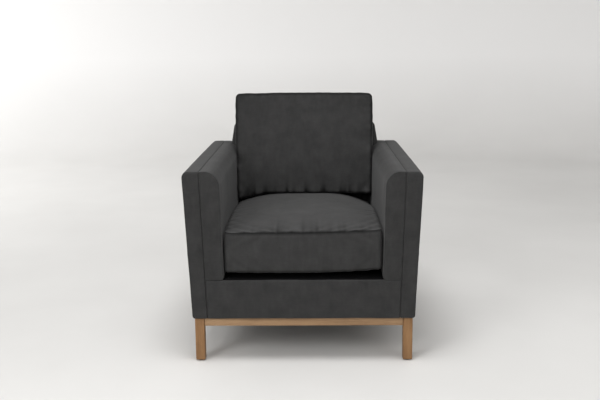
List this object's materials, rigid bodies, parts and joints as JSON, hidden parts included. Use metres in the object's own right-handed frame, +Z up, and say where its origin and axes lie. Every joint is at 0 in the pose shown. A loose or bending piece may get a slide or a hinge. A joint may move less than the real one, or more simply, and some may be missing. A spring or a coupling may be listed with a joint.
{
  "type": "upholstered armchair",
  "caption": "Upholstered armchair with flared slab arms, padded inner arms, loose boxed seat and back cushions, and a timber base with square legs.",
  "frame": {"origin": "on the floor, under the middle of the chair's overall width and depth", "axes": "+Z up, -Y towards the front of the seat, +X towards the right-hand side as seen from the front"},
  "size_m": [0.8, 0.82, 0.88],
  "materials": {
    "velvet": "dark grey short-pile velvet",
    "oak": "oak, satin lacquer",
    "softwood": "planed softwood, bare",
    "plywood": "birch plywood, bare",
    "foam": "open-cell foam",
    "black_cloth": "black non-woven upholstery cloth",
    "strap": "woven jute and elastic webbing",
    "steel": "zinc-plated steel",
    "black_plastic": "moulded nylon"
  },
  "bodies": {
    "chair": {"back_inside_pad": "velvet", "back_outside_panel": "velvet", "back_top_rail": "softwood", "back_webbing_1": "strap", "back_webbing_2": "strap", "back_webbing_3": "strap", "dust_cover": "black_cloth", "front_base_rail": "oak", "front_border": "velvet", "front_left_base_screw": "steel", "front_left_corner_block": "softwood", "front_left_glide": "black_plastic", "front_left_leg": "oak", "front_right_base_screw": "steel", "front_right_corner_block": "softwood", "front_right_glide": "black_plastic", "front_right_leg": "oak", "front_seat_rail": "softwood", "left_arm_cover": "velvet", "left_arm_front_post": "softwood", "left_arm_inner_panel": "plywood", "left_arm_pad": "velvet", "left_arm_rear_post": "softwood", "left_arm_top_rail": "softwood", "left_back_post": "plywood", "left_base_rail": "oak", "left_seat_rail": "softwood", "rear_base_rail": "oak", "rear_left_base_screw": "steel", "rear_left_corner_block": "softwood", "rear_left_glide": "black_plastic", "rear_left_leg": "oak", "rear_right_base_screw": "steel", "rear_right_corner_block": "softwood", "rear_right_glide": "black_plastic", "rear_right_leg": "oak", "rear_seat_rail": "softwood", "right_arm_cover": "velvet", "right_arm_front_post": "softwood", "right_arm_inner_panel": "plywood", "right_arm_pad": "velvet", "right_arm_rear_post": "softwood", "right_arm_top_rail": "softwood", "right_back_post": "plywood", "right_base_rail": "oak", "right_seat_rail": "softwood", "seat_deck": "black_cloth", "seat_spring_1": "steel", "seat_spring_2": "steel", "seat_spring_3": "steel", "seat_spring_4": "steel", "seat_spring_5": "steel"},
    "seat_cushion": {"seat_cushion_core": "foam", "seat_cushion_cover": "velvet", "seat_cushion_zip": "black_plastic"},
    "back_cushion": {"back_cushion_core": "foam", "back_cushion_cover": "velvet", "back_cushion_zip": "black_plastic"},
    "seat_zip_slider": {"seat_cushion_zip_slider": "steel"},
    "back_zip_slider": {"back_cushion_zip_slider": "steel"}
  },
  "joints": [
    {"name": "seat_cushion_slide", "type": "slide", "parent": "chair", "child": "seat_cushion", "axis": [0, -1, 0], "range_m": [0, 0.7]},
    {"name": "back_cushion_slide", "type": "slide", "parent": "chair", "child": "back_cushion", "axis": [0, 0.1392, 0.9903], "range_m": [0, 0.32]},
    {"name": "seat_zip_slide", "type": "slide", "parent": "seat_cushion", "child": "seat_zip_slider", "axis": [1, 0, 0], "range_m": [0, 0.456]},
    {"name": "back_zip_slide", "type": "slide", "parent": "back_cushion", "child": "back_zip_slider", "axis": [1, 0, 0], "range_m": [0, 0.456]}
  ]
}
